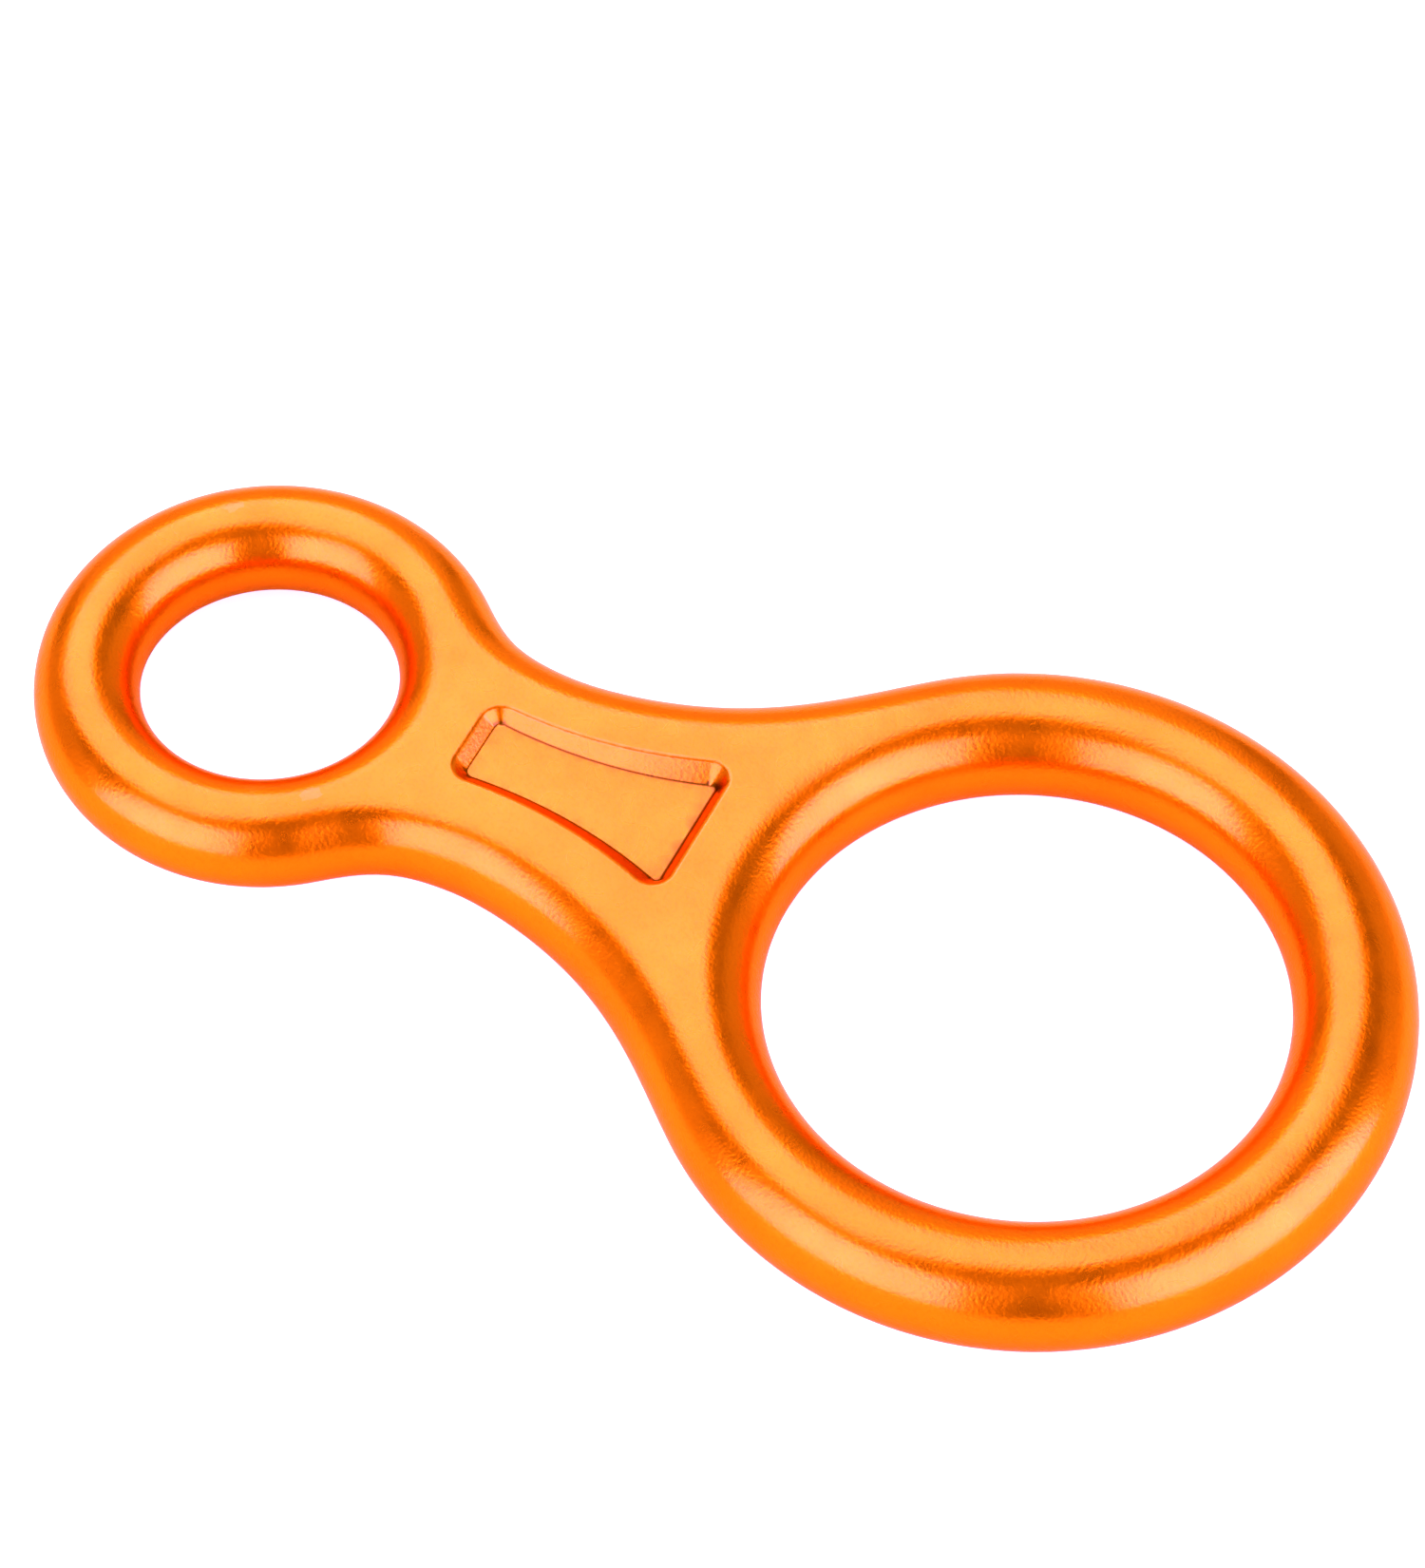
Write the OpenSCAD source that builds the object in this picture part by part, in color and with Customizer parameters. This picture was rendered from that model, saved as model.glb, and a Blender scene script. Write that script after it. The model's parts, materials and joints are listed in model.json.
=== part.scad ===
// Figure-eight rope descender: one solid alloy forging with a large eye for
// the rope, a small eye for a carabiner, and a flat web with a shallow pocket
// on each face. It lies flat: X is its length with the small eye at -X, Y its
// width, Z its thickness, and the origin is the middle of its lowest plane.

/* [Rope eye] */
// Inside diameter of the large eye
rope_eye_d = 42.3; // [38:0.1:50]
// Thickness of the round bar of the large ring
rope_bar_d = 10.1; // [9:0.1:12]

/* [Carabiner eye] */
// Inside diameter of the small eye
carabiner_eye_d = 21.5; // [19:0.1:25]
// Thickness of the round bar of the small ring
carabiner_bar_d = 8.9; // [8:0.1:10]

/* [Web] */
// Distance between the centres of the two eyes
eye_spacing = 69.3; // [67:0.1:80]
// Width of the web at its waist
waist_w = 21.8; // [18:0.1:24]
// Distance from the centre of the large eye to the waist
waist_x = 47.5; // [46:0.1:49]

/* [Pocket] */
// Distance from the centre of the large eye to the pocket's wide end
pocket_x = 29.6; // [29:0.1:31]
// Length of the pocket at its rim
pocket_l = 21.1; // [16:0.1:21.5]
// Least width of the pocket at its rim
pocket_w = 8.3; // [6:0.1:10]
// Radius of the curve that flares the pocket's sides
pocket_flare_r = 42; // [30:1:90]
// Distance from the pocket's narrow end to its least width
pocket_flare_x = 4.7; // [3:0.1:7]
// Depth of the pocket
pocket_depth = 1.2; // [0.6:0.1:2]
// Distance that the pocket's walls lean in between rim and floor
pocket_lean = 1.4; // [0.5:0.1:2]
// Radius of the pocket's corners at its rim
pocket_corner_r = 1.8; // [1:0.1:3]

/* [Trim land] */
// Height of the narrow cylindrical land around the inside of each eye
land_h = 2; // [1:0.1:3]

/* [Hidden] */
$fn = 128;
// Facets of the pocket's corners and of the full circle that flares its sides
POCKET_FN = 24;
FLARE_FN = 96;
// Depth of the web's top below the crest of each ring, so that none touches edge-on
CREST_DROP = 0.05;
// Reach of a cutting tool past the surface that it cuts
OVERCUT = 1;
POCKET_OVERCUT = 0.3;

// Depth of the land below the round of a bar
function land_depth(bar_d) = bar_d / 2 - sqrt(pow(bar_d / 2, 2) - pow(land_h / 2, 2));
// Radius of the circle that the middle of a ring's bar follows
function ring_mid_r(eye_d, bar_d) = (eye_d + bar_d) / 2 - land_depth(bar_d);
// Radius of the concave side arc that touches the waist and a ring dx away
function side_arc_r(dx, ring_r) = (pow(dx, 2) - pow(ring_r - waist_w / 2, 2)) / (2 * ring_r - waist_w)
                                  - waist_w / 2;
// Size of the pocket's floor, and of its cutter's mouth, as shares of a size at its rim
function floor_share(size) = 1 - 2 * pocket_lean / size;
function mouth_share(size) = 1 + 2 * pocket_lean / size * POCKET_OVERCUT / pocket_depth;
// Share of the way from a ring's centre to an arc's centre where the two touch
function touch_share(ring_r, arc_r) = ring_r / (ring_r + arc_r);

rope_mid_r = ring_mid_r(rope_eye_d, rope_bar_d);
rope_outer_r = rope_mid_r + rope_bar_d / 2;
carabiner_mid_r = ring_mid_r(carabiner_eye_d, carabiner_bar_d);
carabiner_outer_r = carabiner_mid_r + carabiner_bar_d / 2;
overall_l = carabiner_outer_r + eye_spacing + rope_outer_r;
rope_eye_x = overall_l / 2 - rope_outer_r;

rope_arc_r = side_arc_r(waist_x, rope_outer_r);
carabiner_arc_r = side_arc_r(eye_spacing - waist_x, carabiner_outer_r);
rope_touch = touch_share(rope_outer_r, rope_arc_r);
carabiner_touch = touch_share(carabiner_outer_r, carabiner_arc_r);

// The web's edge is rounded like the bars, and its top slopes from ring to ring
edge_r = (rope_bar_d + carabiner_bar_d) / 4;
web_run = eye_spacing - rope_mid_r - carabiner_mid_r;
web_slope = atan((rope_bar_d - carabiner_bar_d) / 2 / web_run);
web_top_z = rope_bar_d / 2 - CREST_DROP;
web_reach = rope_bar_d / 2 + OVERCUT;

// Mean width of the pocket, half way between its least and its greatest
pocket_flare = pocket_flare_r - sqrt(pow(pocket_flare_r, 2) - pow(pocket_l - pocket_flare_x, 2));
pocket_mean_w = pocket_w + pocket_flare;

// Round bar bent into a ring about the Z axis
module ring(mid_r, bar_d) {
    rotate_extrude()
        translate([mid_r, 0])
            circle(d = bar_d);
}

// Plan of the web before its sides are cut, seen from the large eye's centre
module web_plan() {
    rope_corner = [-waist_x, waist_w / 2 + rope_arc_r] * rope_touch;
    carabiner_corner = [eye_spacing - waist_x, waist_w / 2 + carabiner_arc_r] * carabiner_touch;
    difference() {
        polygon([
            [0, 0],
            [rope_corner[0], rope_corner[1]],
            [carabiner_corner[0] - eye_spacing, carabiner_corner[1]],
            [-eye_spacing, 0],
            [carabiner_corner[0] - eye_spacing, -carabiner_corner[1]],
            [rope_corner[0], -rope_corner[1]]
        ]);
        circle(r = rope_mid_r);
        translate([-eye_spacing, 0])
            circle(r = carabiner_mid_r);
    }
}

// Quarter-turn cutter that leaves a side arc with a rounded edge, its top at z = 0. It runs
// from the waist at -Y towards +X, so its mirror image cuts the other end's arc
module side_cutter(arc_r) {
    rotate_extrude(start = -90, angle = 90)
        difference() {
            translate([0, -web_reach])
                square([arc_r + edge_r, web_reach + OVERCUT]);
            translate([arc_r + edge_r, -edge_r])
                circle(r = edge_r);
            translate([arc_r, -web_reach - OVERCUT])
                square([edge_r + OVERCUT, web_reach + OVERCUT - edge_r]);
        }
}

// Both arcs of the +Y side, seen from the waist's middle
module side_cutters() {
    translate([0, waist_w / 2 + rope_arc_r, 0])
        side_cutter(rope_arc_r);
    translate([0, waist_w / 2 + carabiner_arc_r, 0])
        mirror([1, 0, 0])
            side_cutter(carabiner_arc_r);
}

// Rim of the pocket in plan, with its narrow end at x = 0
module pocket_rim() {
    offset(r = pocket_corner_r, $fn = POCKET_FN)
        offset(delta = -pocket_corner_r)
            difference() {
                translate([0, -pocket_w])
                    square([pocket_l, 2 * pocket_w]);
                for (side = [-1, 1])
                    translate([pocket_flare_x, side * (pocket_w / 2 + pocket_flare_r)])
                        circle(r = pocket_flare_r, $fn = FLARE_FN);
            }
}

// Cutter for the pocket: its walls lean in evenly from past the web's top down to the floor
module pocket_cutter() {
    mouth = [mouth_share(pocket_l), mouth_share(pocket_mean_w)];
    taper = [floor_share(pocket_l) / mouth[0], floor_share(pocket_mean_w) / mouth[1]];
    mirror([0, 0, 1])
        translate([0, 0, -POCKET_OVERCUT])
            linear_extrude(height = pocket_depth + POCKET_OVERCUT, scale = taper, slices = 1)
                scale(mouth)
                    translate([-pocket_l / 2, 0])
                        pocket_rim();
}

// Upper half of the web, seen from the large eye's centre at the middle plane. Its top slopes
// up from the small ring's crest to the large ring's crest, and is level past that
module upper_web() {
    intersection() {
        translate([-rope_mid_r, 0, web_top_z])
            rotate([0, -web_slope, 0])
                translate([rope_mid_r, 0, 0])
                    difference() {
                        translate([0, 0, -web_reach])
                            linear_extrude(height = web_reach)
                                web_plan();
                        for (side = [0, 1])
                            translate([-waist_x, 0, 0])
                                mirror([0, side, 0])
                                    side_cutters();
                        translate([-pocket_x - pocket_l / 2, 0, 0])
                            pocket_cutter();
                    }
        translate([-eye_spacing, -eye_spacing / 2, 0])
            cube([eye_spacing, eye_spacing, web_top_z]);
    }
}

module descender_body() {
    color("darkorange")
        translate([rope_eye_x, 0, rope_bar_d / 2])
            difference() {
                union() {
                    ring(rope_mid_r, rope_bar_d);
                    translate([-eye_spacing, 0, 0])
                        ring(carabiner_mid_r, carabiner_bar_d);
                    upper_web();
                    mirror([0, 0, 1])
                        upper_web();
                }
                cylinder(d = rope_eye_d, h = rope_bar_d, center = true);
                translate([-eye_spacing, 0, 0])
                    cylinder(d = carabiner_eye_d, h = rope_bar_d, center = true);
            }
}

descender_body();
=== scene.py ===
import json
import math
from collections import namedtuple

import bmesh
import bpy
from mathutils import Matrix, Vector
from mathutils.geometry import delaunay_2d_cdt


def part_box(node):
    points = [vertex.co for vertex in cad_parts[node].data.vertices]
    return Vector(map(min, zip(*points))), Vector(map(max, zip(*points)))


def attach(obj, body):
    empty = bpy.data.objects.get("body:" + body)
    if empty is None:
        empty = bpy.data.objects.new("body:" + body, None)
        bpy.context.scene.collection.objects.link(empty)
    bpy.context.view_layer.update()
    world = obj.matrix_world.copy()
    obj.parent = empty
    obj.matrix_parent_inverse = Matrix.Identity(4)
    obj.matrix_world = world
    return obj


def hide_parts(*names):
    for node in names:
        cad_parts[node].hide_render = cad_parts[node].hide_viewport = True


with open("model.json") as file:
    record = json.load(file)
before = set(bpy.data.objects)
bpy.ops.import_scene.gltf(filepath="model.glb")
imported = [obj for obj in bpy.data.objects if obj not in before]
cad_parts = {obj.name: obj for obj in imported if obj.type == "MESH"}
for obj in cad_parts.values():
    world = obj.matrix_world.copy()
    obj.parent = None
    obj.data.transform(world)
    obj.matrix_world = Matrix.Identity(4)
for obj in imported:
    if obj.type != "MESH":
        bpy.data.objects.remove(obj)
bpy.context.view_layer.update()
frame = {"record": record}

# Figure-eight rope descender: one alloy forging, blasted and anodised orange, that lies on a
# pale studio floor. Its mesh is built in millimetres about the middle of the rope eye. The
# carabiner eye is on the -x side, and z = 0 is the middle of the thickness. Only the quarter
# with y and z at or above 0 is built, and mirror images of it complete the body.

MM = 0.001

# ---------------------------------------------------------------- sizes from the frame
BODY_LOW, BODY_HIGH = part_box("descender_body")
MOUNTS = {mount["name"]: mount for mount in frame["record"]["mounts"]}
ROPE_EYE_X = MOUNTS["rope_eye"]["pos_m"][0] / MM
CARABINER_EYE_X = MOUNTS["carabiner_eye"]["pos_m"][0] / MM
MIDDLE_Z = (BODY_LOW.z + BODY_HIGH.z) / 2 / MM

Ring = namedtuple("Ring", "centre_x eye_r outer_r bar_r half_h web_side leave_angle free_steps web_steps")
Station = namedtuple("Station", "point inward bar_r")


def ring(mount, outer_r, web_side, leave_angle, free_steps, web_steps):
    """One eye's ring. The web is on its web_side in x, and the outline leaves the circle at
    leave_angle from there. The steps are those of the free arc and of the arc facing the web."""
    eye_r = MOUNTS[mount]["dims"]["r_mm"]
    bar_r = (outer_r - eye_r) / 2
    return Ring(
        centre_x=MOUNTS[mount]["pos_m"][0] / MM - ROPE_EYE_X,
        eye_r=eye_r,
        outer_r=outer_r,
        bar_r=bar_r,
        half_h=MIDDLE_Z * bar_r / ROPE_BAR_R,
        web_side=web_side,
        leave_angle=math.radians(leave_angle),
        free_steps=free_steps,
        web_steps=web_steps,
    )


ROPE_OUTER_R = BODY_HIGH.x / MM - ROPE_EYE_X
ROPE_BAR_R = (ROPE_OUTER_R - MOUNTS["rope_eye"]["dims"]["r_mm"]) / 2
CARABINER_OUTER_R = CARABINER_EYE_X - BODY_LOW.x / MM
ROPE_RING = ring(
    "rope_eye", ROPE_OUTER_R, web_side=-1, leave_angle=52.3, free_steps=84, web_steps=36
)
CARABINER_RING = ring(
    "carabiner_eye", CARABINER_OUTER_R, web_side=1, leave_angle=51.8, free_steps=72, web_steps=30
)

# ---------------------------------------------------------------- sizes of the finer shapes, mm
WAIST_X = -46.34
WAIST_HALF_W = 10.886
WAIST_CURVE_R = 17.2
# Steps along the side, before and past the waist, and from a bar's edge up to its crest
SIDE_STEPS = (48, 22)
SECTION_STEPS = 20

# The pocket's depth is that at its wide end. Its floor is level
POCKET_WIDE_X = -28.9
POCKET_NARROW_X = -50.7
POCKET_WAIST_X = -46.0
POCKET_HALF_W = 4.25
POCKET_FLARE_R = 42.0
POCKET_CORNER_R = 2.1
POCKET_DEPTH = 1.55
POCKET_WALL_ANGLE = math.radians(45)
POCKET_WIDE_STEEPER = math.radians(12)
POCKET_RIM_R = 0.75
POCKET_CREASE_R = 0.3
# Steps along half of the rim: its wide end, corner, flared side, corner and narrow end
POCKET_STEPS = (8, 16, 40, 16, 6)
FILLET_STEPS = 4
WALL_STEPS = 4
GRID_PITCH = 1.4
GRID_MARGIN = 0.8
WELD = 2e-4
# The triangulation's setting to keep only what is inside the loop, and its nearness test
CDT_INSIDE = 1
CDT_NEARNESS = 1e-6


# ---------------------------------------------------------------- shape of the body
def smooth(share):
    """0 to 1 with level ends, as share goes from 0 to 1."""
    share = min(1, max(0, share))
    return share * share * (3 - 2 * share)


def leave_point(eye_ring, radius):
    """Point at that radius of a ring where its outline leaves the circle."""
    return ring_point(eye_ring, eye_ring.leave_angle, radius)


def ring_point(eye_ring, angle, radius):
    out = Vector((eye_ring.web_side * math.cos(angle), math.sin(angle)))
    return Vector((eye_ring.centre_x, 0)) + out * radius


SIDE_START_X = leave_point(ROPE_RING, ROPE_RING.outer_r).x
SIDE_END_X = leave_point(CARABINER_RING, CARABINER_RING.outer_r).x


def between_rings(x, at_rope, at_carabiner):
    """A size that goes smoothly from its value at the rope ring to that at the carabiner ring."""
    share = smooth((SIDE_START_X - x) / (SIDE_START_X - SIDE_END_X))
    return at_rope + (at_carabiner - at_rope) * share


def half_height(x):
    """Height of the crest of the bars, and of the web's top, above the middle plane."""
    return between_rings(x, ROPE_RING.half_h, CARABINER_RING.half_h)


def top_slope(x):
    step = 0.01
    return (half_height(x + step) - half_height(x - step)) / (2 * step)


def top_normal(x):
    return Vector((-top_slope(x), 0, 1)).normalized()


def circle_end(eye_ring, x):
    """x, height, slope and bend of a ring's outer outline at x."""
    dx = x - eye_ring.centre_x
    y = math.sqrt(eye_ring.outer_r**2 - dx**2)
    return x, y, -dx / y, -eye_ring.outer_r**2 / y**3


def blend_curve(start, end, x):
    """Height and slope at x of the curve that meets both ends in height, slope and bend."""
    x0, y0, slope0, bend0 = start
    x1, y1, slope1, bend1 = end
    run = x1 - x0
    t = (x - x0) / run
    a0, a1, a2 = y0, run * slope0, run**2 * bend0 / 2
    rise = y1 - a0 - a1 - a2
    turn = run * slope1 - a1 - 2 * a2
    bend = run**2 * bend1 - 2 * a2
    a3 = 10 * rise - 4 * turn + bend / 2
    a4 = -15 * rise + 7 * turn - bend
    a5 = 6 * rise - 3 * turn + bend / 2
    height = a0 + t * (a1 + t * (a2 + t * (a3 + t * (a4 + t * a5))))
    slope = (a1 + t * (2 * a2 + t * (3 * a3 + t * (4 * a4 + t * 5 * a5)))) / run
    return height, slope


def side_stations():
    """Stations of the concave side, from the rope ring over the waist to the carabiner ring."""
    waist = (WAIST_X, WAIST_HALF_W, 0, 1 / WAIST_CURVE_R)
    ends = [circle_end(ROPE_RING, SIDE_START_X), waist, circle_end(CARABINER_RING, SIDE_END_X)]
    stations = []
    for start, end, steps in zip(ends, ends[1:], SIDE_STEPS):
        for i in range(0 if start is ends[0] else 1, steps + 1):
            x = start[0] + (end[0] - start[0]) * i / steps
            height, slope = blend_curve(start, end, x)
            inward = Vector((slope, -1)).normalized()
            bar_r = between_rings(x, ROPE_RING.bar_r, CARABINER_RING.bar_r)
            stations.append(Station(Vector((x, height)), inward, bar_r))
    return stations


def spread(start, end, steps):
    return [start + (end - start) * i / steps for i in range(steps + 1)]


def ring_stations(eye_ring, angles, radius):
    """Stations on a ring's outer outline or, at its eye's radius, on the wall of its eye."""
    stations = []
    for angle in angles:
        point = ring_point(eye_ring, angle, radius)
        outward = (point - Vector((eye_ring.centre_x, 0))).normalized()
        inward = outward if radius < eye_ring.outer_r else -outward
        stations.append(Station(point, inward, eye_ring.bar_r))
    return stations


def crest(station):
    return station.point + station.inward * station.bar_r


class Quarter:
    """Points, their normals, and the faces of the quarter of the body that is built."""

    def __init__(self):
        self.points = []
        self.normals = []
        self.faces = []

    def add(self, point, normal):
        self.points.append(Vector(point))
        self.normals.append(Vector(normal).normalized())
        return len(self.points) - 1

    def grid(self, rows):
        """Faces between neighbouring rows of (point, normal)."""
        numbered = [[self.add(point, normal) for point, normal in row] for row in rows]
        for row, following in zip(numbered, numbered[1:]):
            for i in range(len(row) - 1):
                self.faces.append((row[i], row[i + 1], following[i + 1], following[i]))

    def fill(self, loop, height, normal):
        """Triangles inside a flat loop, with a grid of points so that none of them is long."""
        low = Vector((min(p.x for p in loop), min(p.y for p in loop)))
        high = Vector((max(p.x for p in loop), max(p.y for p in loop)))
        inner = []
        for row in range(1, int((high.y - low.y) / GRID_PITCH) + 1):
            shift = GRID_PITCH / 2 * (row % 2)
            for column in range(int((high.x - low.x) / GRID_PITCH) + 1):
                point = low + Vector((column * GRID_PITCH + shift, row * GRID_PITCH))
                if min((point - p).length for p in loop) > GRID_MARGIN:
                    inner.append(point)
        outline = list(range(len(loop)))
        found = delaunay_2d_cdt(loop + inner, [], [outline], CDT_INSIDE, CDT_NEARNESS)
        numbers = {}
        for face in found[2]:
            for i in face:
                if i not in numbers:
                    x, y = found[0][i]
                    numbers[i] = self.add((x, y, height(x)), normal(x))
            self.faces.append(tuple(numbers[i] for i in face))


def bar_rows(stations):
    """Rows over the upper quarter of a bar's section, from the middle plane up to the crest."""
    rows = []
    for station in stations:
        top = crest(station)
        height, slope = half_height(top.x), top_slope(top.x)
        row = []
        for angle in spread(0, math.pi / 2, SECTION_STEPS):
            level, rise = math.cos(angle), math.sin(angle)
            plan = station.point + station.inward * station.bar_r * (1 - level)
            side = -station.inward * level * height / station.bar_r
            row.append(((plan.x, plan.y, height * rise), (side.x - slope * rise**2, side.y, rise)))
        rows.append(row)
    return rows


def pocket_corner(end_x, inner_side):
    """Middle of the rim's corner arc at one end of the pocket, and the arc's end on the side."""
    middle_x = end_x + inner_side * POCKET_CORNER_R
    flare = Vector((POCKET_WAIST_X, POCKET_HALF_W + POCKET_FLARE_R))
    reach = POCKET_FLARE_R + POCKET_CORNER_R
    middle = Vector((middle_x, flare.y - math.sqrt(reach**2 - (middle_x - flare.x) ** 2)))
    return middle, flare, (flare - middle).normalized()


def rim_stations():
    """(point, direction into the pocket) along half of the rim, from its wide to its narrow end."""
    line_in, corner_in, flare_in, corner_out, line_out = POCKET_STEPS
    wide, flare, wide_end = pocket_corner(POCKET_WIDE_X, -1)
    narrow, flare, narrow_end = pocket_corner(POCKET_NARROW_X, 1)
    stations = [(Vector((POCKET_WIDE_X, y)), Vector((-1, 0))) for y in spread(0, wide.y, line_in)[:-1]]
    for angle in spread(0, math.atan2(wide_end.y, wide_end.x), corner_in)[:-1]:
        out = Vector((math.cos(angle), math.sin(angle)))
        stations.append((wide + out * POCKET_CORNER_R, -out))
    start = math.atan2(-wide_end.y, -wide_end.x)
    end = math.atan2(-narrow_end.y, -narrow_end.x)
    for angle in spread(start, end, flare_in)[:-1]:
        out = Vector((math.cos(angle), math.sin(angle)))
        stations.append((flare + out * POCKET_FLARE_R, out))
    for angle in spread(math.atan2(narrow_end.y, narrow_end.x), math.pi, corner_out)[:-1]:
        out = Vector((math.cos(angle), math.sin(angle)))
        stations.append((narrow + out * POCKET_CORNER_R, -out))
    stations += [(Vector((POCKET_NARROW_X, y)), Vector((1, 0))) for y in spread(narrow.y, 0, line_out)]
    return stations


FLOOR_Z = half_height(POCKET_WIDE_X) - POCKET_DEPTH


def pocket_rows(stations):
    """Rows down the pocket's wall: rounded rim, even wall, and rounded crease at the floor."""
    rows = []
    for point, inward in stations:
        wall_angle = POCKET_WALL_ANGLE + POCKET_WIDE_STEEPER * max(0, -inward.x) ** 2
        drop = 1 - math.cos(wall_angle)
        reach = math.sin(wall_angle)
        depth = half_height(point.x) - FLOOR_Z
        wall = (depth - (POCKET_RIM_R + POCKET_CREASE_R) * drop) / reach
        run = (POCKET_RIM_R + POCKET_CREASE_R) * reach + wall * math.cos(wall_angle)
        profile = []
        for angle in spread(0, wall_angle, FILLET_STEPS):
            profile.append((POCKET_RIM_R * math.sin(angle), POCKET_RIM_R * (1 - math.cos(angle)), angle))
        last_in, last_down, last_angle = profile[-1]
        for along in spread(0, wall, WALL_STEPS)[1:-1]:
            profile.append((last_in + along * math.cos(last_angle), last_down + along * reach, last_angle))
        for angle in spread(wall_angle, 0, FILLET_STEPS):
            inset = run - POCKET_CREASE_R * math.sin(angle)
            profile.append((inset, depth - POCKET_CREASE_R * (1 - math.cos(angle)), angle))
        row = []
        for inset, down, angle in profile:
            plan = point + inward * inset
            tilt = inward * math.sin(angle)
            share = 1 - down / depth
            normal = (tilt.x - top_slope(point.x) * share, tilt.y, math.cos(angle))
            row.append(((plan.x, plan.y, depth + FLOOR_Z - down), normal))
        rows.append(row)
    return rows


def build_quarter():
    quarter = Quarter()
    side = side_stations()
    facing = {}
    for eye_ring in (ROPE_RING, CARABINER_RING):
        free = spread(math.pi, eye_ring.leave_angle, eye_ring.free_steps)
        web = spread(eye_ring.leave_angle, 0, eye_ring.web_steps)
        quarter.grid(bar_rows(ring_stations(eye_ring, free, eye_ring.outer_r)))
        quarter.grid(bar_rows(ring_stations(eye_ring, free + web[1:], eye_ring.eye_r)))
        facing[eye_ring] = [crest(s) for s in ring_stations(eye_ring, web, eye_ring.eye_r)]
    quarter.grid(bar_rows(side))
    rim = rim_stations()
    loop = facing[ROPE_RING][::-1]
    loop += [crest(station) for station in side[1:-1]]
    loop += facing[CARABINER_RING]
    loop += [point for point, inward in rim[::-1]]
    quarter.fill(loop, half_height, top_normal)
    walls = pocket_rows(rim)
    quarter.grid(walls)
    floor_loop = [Vector(row[-1][0][:2]) for row in walls]
    quarter.fill(floor_loop, lambda x: FLOOR_Z, lambda x: Vector((0, 0, 1)))
    return quarter


def whole_mesh(quarter, name):
    """The quarter and its three mirror images, welded, in metres and in the CAD's place."""
    bm = bmesh.new()
    normal_layer = bm.verts.layers.float_vector.new("true_normal")
    for flip_y in (1, -1):
        for flip_z in (1, -1):
            flip = Vector((1, flip_y, flip_z))
            made = []
            for point, normal in zip(quarter.points, quarter.normals):
                vertex = bm.verts.new(point * flip)
                vertex[normal_layer] = normal * flip
                made.append(vertex)
            for face in quarter.faces:
                order = face if flip_y * flip_z > 0 else face[::-1]
                bm.faces.new([made[i] for i in order])
    bmesh.ops.remove_doubles(bm, verts=bm.verts, dist=WELD)
    bmesh.ops.dissolve_degenerate(bm, edges=bm.edges, dist=WELD)
    bmesh.ops.recalc_face_normals(bm, faces=bm.faces)
    place = Matrix.Translation((ROPE_EYE_X, 0, MIDDLE_Z))
    bm.transform(Matrix.Scale(MM, 4) @ place)
    true_normals = [vertex[normal_layer].copy() for vertex in bm.verts]
    bm.verts.layers.float_vector.remove(normal_layer)
    mesh = bpy.data.meshes.new(name)
    bm.to_mesh(mesh)
    bm.free()
    mesh.shade_smooth()
    mesh.normals_split_custom_set_from_vertices(true_normals)
    return mesh


def add_object(name, data):
    made = bpy.data.objects.new(name, data)
    bpy.context.scene.collection.objects.link(made)
    return made


# ---------------------------------------------------------------- materials
# Sizes of the patterns in the alloy and the floor, in metres
PATCH_SIZE = 0.009
SHEEN_SIZE = 0.002
WEAR_SIZE = 0.0012
FLOOR_PATCH_SIZE = 0.002
GRAIN_SIZE = 0.00032
GRAIN_DEPTH = 0.000014

DEEP_ORANGE = (0.82, 0.166, 0.003, 1)
BRIGHT_ORANGE = (0.87, 0.188, 0.005, 1)
# The next colour is painted shade for the pits of the grain
PAINTED_PIT_SHADE = (0.62, 0.09, 0.002, 1)
WORN_ORANGE = (1.0, 0.23, 0.04, 1)
PAINTED_CREASE_SHADE = (0.15, 0.04, 0.001, 1)
# The next colour is painted shade for the creases
EDGE_TINT = (1.0, 0.55, 0.2, 1)


class Nodes:
    """Short calls that add shader nodes to one material."""

    def __init__(self, name):
        self.material = bpy.data.materials.new(name)
        self.material.use_nodes = True
        self.tree = self.material.node_tree
        self.shader = self.tree.nodes["Principled BSDF"]

    def add(self, kind, inputs=(), **settings):
        node = self.tree.nodes.new(kind)
        for key, value in settings.items():
            setattr(node, key, value)
        for key, value in dict(inputs).items():
            self.join(value, node.inputs[key])
        return node

    def join(self, value, socket):
        if isinstance(value, bpy.types.NodeSocket):
            self.tree.links.new(value, socket)
        else:
            socket.default_value = value

    def noise(self, size, detail=2.0):
        """Noise whose patches are about size metres across."""
        place = self.add("ShaderNodeTexCoord").outputs["Object"]
        inputs = {"Vector": place, "Scale": 1 / size, "Detail": detail}
        return self.add("ShaderNodeTexNoise", inputs).outputs["Fac"]

    def ramp(self, value, low, high, at_low, at_high):
        """value carried evenly from low..high to at_low..at_high, and held there past both."""
        inputs = {
            "Value": value,
            "From Min": low,
            "From Max": high,
            "To Min": at_low,
            "To Max": at_high,
        }
        return self.add("ShaderNodeMapRange", inputs).outputs["Result"]

    def mix(self, share, first, second):
        """Colour between first and second. Inputs 6 and 7 and output 2 are the colour sockets."""
        node = self.add("ShaderNodeMix", data_type="RGBA")
        self.join(share, node.inputs["Factor"])
        self.join(first, node.inputs[6])
        self.join(second, node.inputs[7])
        return node.outputs[2]

    def math(self, operation, first, second):
        node = self.add("ShaderNodeMath", operation=operation)
        self.join(first, node.inputs[0])
        self.join(second, node.inputs[1])
        return node.outputs[0]


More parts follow.
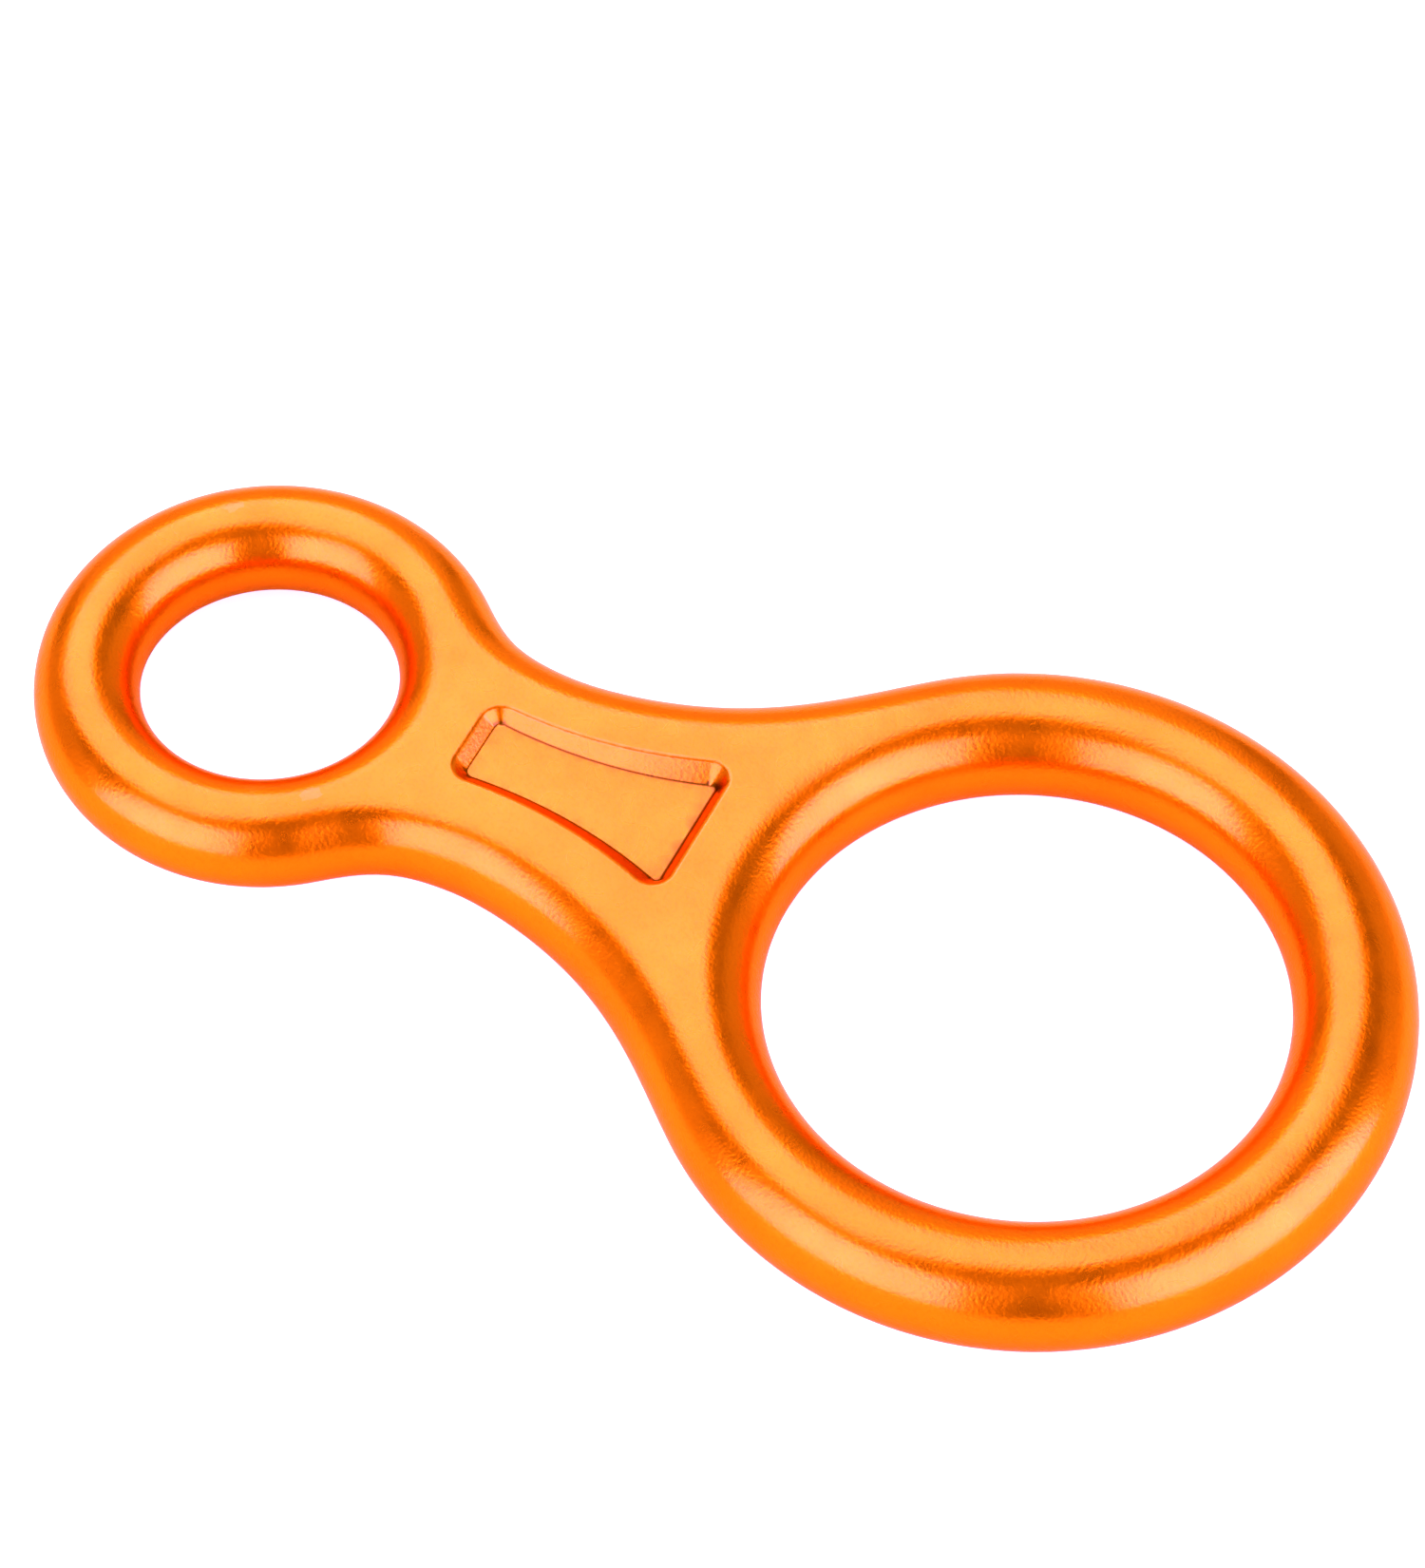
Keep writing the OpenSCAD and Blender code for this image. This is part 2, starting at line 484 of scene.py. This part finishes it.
def anodised_alloy():
    """Blasted alloy under orange anodising, worn on its edges, with painted shade darkening the pits of
    its grain and its creases.
    """
    nodes = Nodes("anodised_alloy")
    shader = nodes.shader.inputs
    patches = nodes.ramp(nodes.noise(PATCH_SIZE), 0.35, 0.65, 0, 1)
    grain = nodes.ramp(nodes.noise(GRAIN_SIZE, detail=1.0), 0.3, 0.7, 0, 1)
    colour = nodes.mix(patches, DEEP_ORANGE, BRIGHT_ORANGE)
    # Painted shade: the colour darkens towards a deeper orange in the pits of the grain, where the bump is
    # low
    pit_shade = nodes.ramp(grain, 0.1, 0.5, 0.12, 0)
    colour = nodes.mix(pit_shade, colour, PAINTED_PIT_SHADE)
    # Pointiness is above 0.5 on an outer edge and below it in a crease
    edge = nodes.add("ShaderNodeNewGeometry").outputs["Pointiness"]
    wear = nodes.math("MULTIPLY", nodes.ramp(edge, 0.509, 0.514, 0, 0.5), nodes.noise(WEAR_SIZE))
    colour = nodes.mix(wear, colour, WORN_ORANGE)
    # Painted shade: a dark brown laid into the creases, such as the line where the pocket's walls meet its
    # floor
    crease_shade = nodes.ramp(edge, 0.488, 0.494, 0.8, 0)
    colour = nodes.mix(crease_shade, colour, PAINTED_CREASE_SHADE)
    nodes.join(colour, shader["Base Color"])
    sheen = nodes.noise(SHEEN_SIZE, detail=0.0)
    nodes.join(nodes.ramp(sheen, 0.3, 0.7, 0.27, 0.32), shader["Roughness"])
    nodes.join(0.92, shader["Metallic"])
    nodes.join(0.0, shader["Specular IOR Level"])
    nodes.join(EDGE_TINT, shader["Specular Tint"])
    nodes.join(0.4, shader["Coat Weight"])
    nodes.join(0.2, shader["Coat Roughness"])
    bump = nodes.add("ShaderNodeBump", {"Strength": 0.8, "Distance": GRAIN_DEPTH, "Height": grain})
    nodes.join(bump.outputs["Normal"], shader["Normal"])
    return nodes.material


def pale_floor(name, tone, glow, blue):
    """Matt floor of a faintly uneven tone. blue is its share of blue, and 1 leaves it grey."""
    nodes = Nodes(name)
    low, high = tone * 0.97, tone * 1.03
    share = nodes.ramp(nodes.noise(FLOOR_PATCH_SIZE), 0.3, 0.7, 0, 1)
    colour = nodes.mix(share, (low, low, low * blue, 1), (high, high, high * blue, 1))
    nodes.join(colour, nodes.shader.inputs["Base Color"])
    nodes.join(0.8, nodes.shader.inputs["Roughness"])
    nodes.join(0.1, nodes.shader.inputs["Specular IOR Level"])
    nodes.join((1, 1, 1, 1), nodes.shader.inputs["Emission Color"])
    nodes.join(glow, nodes.shader.inputs["Emission Strength"])
    return nodes.material


# ---------------------------------------------------------------- floor, lights and camera
# Lengths here are in metres, apart from VIEW_TARGET and LENS
FLOOR_R = 4.0
FLOOR_GAP = 0.0002
ROOM_TONE = 0.34
# An area light of this energy for each square metre has a radiance of 1
LIGHT_UNIT = math.pi

# The view: turned from +y towards -x by VIEW_YAW, and looking down by VIEW_ELEVATION. It looks
# at VIEW_TARGET, in millimetres from the middle of the rope eye
VIEW_YAW = math.radians(27.551)
VIEW_ELEVATION = math.radians(54.986)
VIEW_ROLL = math.radians(-0.520)
VIEW_TARGET = (-31.944, 7.478)
VIEW_DISTANCE = 0.470456
LENS = 132.15

VIEW_GAMMA = 0.8
# Tones of blue, each with the tone that it is shown as
BLUE_CURVE = ((0.03, 0.007), (0.06, 0.03), (0.11, 0.115), (0.2, 0.31), (0.5, 0.58))

Softbox = namedtuple("Softbox", "name heading elevation distance width height radiance blue upright")
# Headings are in degrees to the right of the camera's own heading, and blue is the light's blue
# as a share of its red and green. An upright box faces level, and the others face the origin
SOFTBOXES = (
    Softbox("overhead", -26, 64, 1.05, 1.05, 1.20, 2.65, 2.0, False),
    Softbox("left_front", -134, 39, 1.25, 1.18, 1.47, 3.0, 2.4, True),
    Softbox("right_front", 123, 39, 1.25, 1.45, 1.47, 3.2, 2.4, True),
    Softbox("backdrop", -8, 24, 1.4, 1.5, 1.1, 0.75, 1.0, False),
    Softbox("left_wall", -72, 15, 1.6, 1.5, 1.2, 0.5, 1.0, False),
    Softbox("right_wall", 55, 15, 1.6, 1.5, 1.2, 0.5, 1.0, False),
)


def floor_mesh():
    bm = bmesh.new()
    bmesh.ops.create_circle(bm, cap_ends=True, segments=96, radius=FLOOR_R)
    mesh = bpy.data.meshes.new("floor")
    bm.to_mesh(mesh)
    bm.free()
    return mesh


def add_softbox(box):
    heading = VIEW_YAW - math.radians(box.heading)
    elevation = math.radians(box.elevation)
    level = math.cos(elevation)
    out = Vector((-math.sin(heading) * level, math.cos(heading) * level, math.sin(elevation)))
    light = bpy.data.lights.new(box.name, "AREA")
    light.shape = "RECTANGLE"
    light.size = box.width
    light.size_y = box.height
    light.color = (1, 1, box.blue)
    light.energy = box.radiance * box.width * box.height * LIGHT_UNIT
    made = add_object(box.name, light)
    made.location = out * box.distance
    made.rotation_mode = "QUATERNION"
    faced = Vector((out.x, out.y, 0)) if box.upright else out
    made.rotation_quaternion = faced.to_track_quat("Z", "Y")
    made.visible_camera = False


def add_world():
    world = bpy.data.worlds.new("studio")
    world.use_nodes = True
    background = world.node_tree.nodes["Background"]
    background.inputs["Color"].default_value = (1, 1, 1, 1)
    background.inputs["Strength"].default_value = ROOM_TONE
    bpy.context.scene.world = world


def add_camera():
    level = math.cos(VIEW_ELEVATION)
    back = Vector((math.sin(VIEW_YAW) * level, -math.cos(VIEW_YAW) * level, math.sin(VIEW_ELEVATION)))
    right = Vector((math.cos(VIEW_YAW), math.sin(VIEW_YAW), 0))
    up = back.cross(right)
    turn, keep = math.sin(VIEW_ROLL), math.cos(VIEW_ROLL)
    axes = Matrix((keep * right + turn * up, keep * up - turn * right, back)).transposed()
    data = bpy.data.cameras.new("camera")
    data.lens = LENS
    data.clip_start = 0.01
    camera = add_object("camera", data)
    target = Vector((ROPE_EYE_X + VIEW_TARGET[0], VIEW_TARGET[1], MIDDLE_Z)) * MM
    camera.matrix_world = Matrix.Translation(target + back * VIEW_DISTANCE) @ axes.to_4x4()
    bpy.context.scene.camera = camera


def set_tone():
    """Plain tones with firm contrast. Blue is deepened in the shades and lifted in the lights."""
    view = bpy.context.scene.view_settings
    view.view_transform = "Standard"
    view.gamma = VIEW_GAMMA
    view.use_curve_mapping = True
    blue = view.curve_mapping.curves[2]
    for tone, shown in BLUE_CURVE:
        blue.points.new(tone, shown)
    view.curve_mapping.update()


# ---------------------------------------------------------------- the scene
body = add_object("descender", whole_mesh(build_quarter(), "descender"))
body.data.materials.append(anodised_alloy())
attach(body, "root")
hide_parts("descender_body")

# The camera sees a floor that glows a little, and the alloy reflects the table just under it,
# which is plain and slightly warm
floor = add_object("floor", floor_mesh())
floor.data.materials.append(pale_floor("glowing_floor", 0.55, 0.75, 1.0))
floor.visible_glossy = False
floor.visible_diffuse = False
floor.visible_shadow = False
table = add_object("table", floor_mesh())
table.location.z = -FLOOR_GAP
table.data.materials.append(pale_floor("plain_floor", 0.92, 0.0, 0.5))
table.visible_camera = False
for softbox in SOFTBOXES:
    add_softbox(softbox)
add_world()
add_camera()
set_tone()
